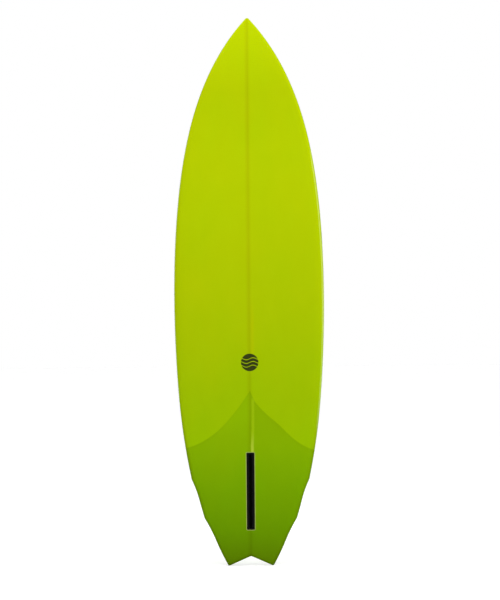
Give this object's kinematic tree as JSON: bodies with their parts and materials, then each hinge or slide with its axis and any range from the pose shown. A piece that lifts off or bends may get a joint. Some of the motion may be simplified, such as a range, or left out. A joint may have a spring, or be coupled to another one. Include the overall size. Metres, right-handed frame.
{
  "type": "surfboard",
  "caption": "Short single-fin surfboard with a pointed nose, winged swallow tail, open fin box and green tinted glass skin over a foam and wood core.",
  "frame": {"origin": "midway between the two tail tips, level with their ends and at the middle of their thickness, where a vertical rack holds the tail", "axes": "+Z from the tail tips to the nose, +X across the board, -Y the way the bottom faces and +Y the way the deck faces"},
  "size_m": [0.5328, 0.1321, 1.9597],
  "materials": {
    "foam": "bare cut foam",
    "stringer_wood": "bare planed wood",
    "glue": "dried glue",
    "bottom_cloth": "glass cloth in yellow-green tinted resin",
    "tail_patch_cloth": "second layer of tinted glass cloth",
    "deck_cloth": "glass cloth in yellow-green tinted resin",
    "gloss_coat": "polished clear resin over green cloth",
    "decal_tissue": "printed tissue under resin",
    "fin_box_plastic": "black moulded plastic, sanded flush",
    "setting_resin": "cured setting resin",
    "plug_plastic": "black moulded plastic",
    "bar_steel": "stainless steel"
  },
  "bodies": {
    "root": {"stringer": "stringer_wood", "glue_line_right": "glue", "glue_line_left": "glue", "foam_right": "foam", "foam_left": "foam", "tail_patch": "tail_patch_cloth", "decal": "decal_tissue", "deck_patch": "deck_cloth", "bottom_cloth": "bottom_cloth", "deck_cloth": "deck_cloth", "bottom_gloss_coat": "gloss_coat", "deck_gloss_coat": "gloss_coat", "fin_box": "fin_box_plastic", "fin_box_resin": "setting_resin", "leash_plug_cup": "plug_plastic", "leash_plug_bar": "bar_steel", "leash_plug_resin": "setting_resin"}
  },
  "joints": []
}
